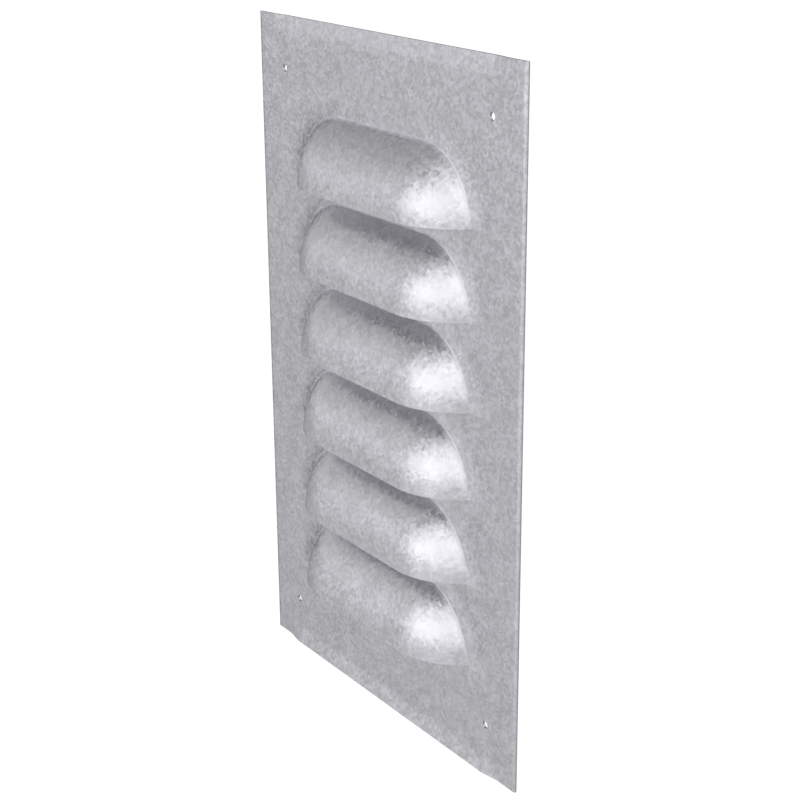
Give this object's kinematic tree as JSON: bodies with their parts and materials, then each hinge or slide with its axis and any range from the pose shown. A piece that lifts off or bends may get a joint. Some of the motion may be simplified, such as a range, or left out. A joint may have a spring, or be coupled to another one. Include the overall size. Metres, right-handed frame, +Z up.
{
  "type": "louvred wall plate",
  "caption": "Flat rectangular plate pressed from galvanised sheet, with long hooded louvres open along their lower edge, bent end strips and corner fixing holes.",
  "frame": {"origin": "centre of the four fixing holes, on the back face of the sheet", "axes": "+X across the plate, +Z up it, and the front, with its louvres, faces -Y"},
  "size_m": [0.2, 0.0188, 0.32],
  "materials": {
    "galvanised_sheet": "galvanised, fine spangle"
  },
  "bodies": {
    "root": {"louvred_plate": "galvanised_sheet"}
  },
  "joints": []
}
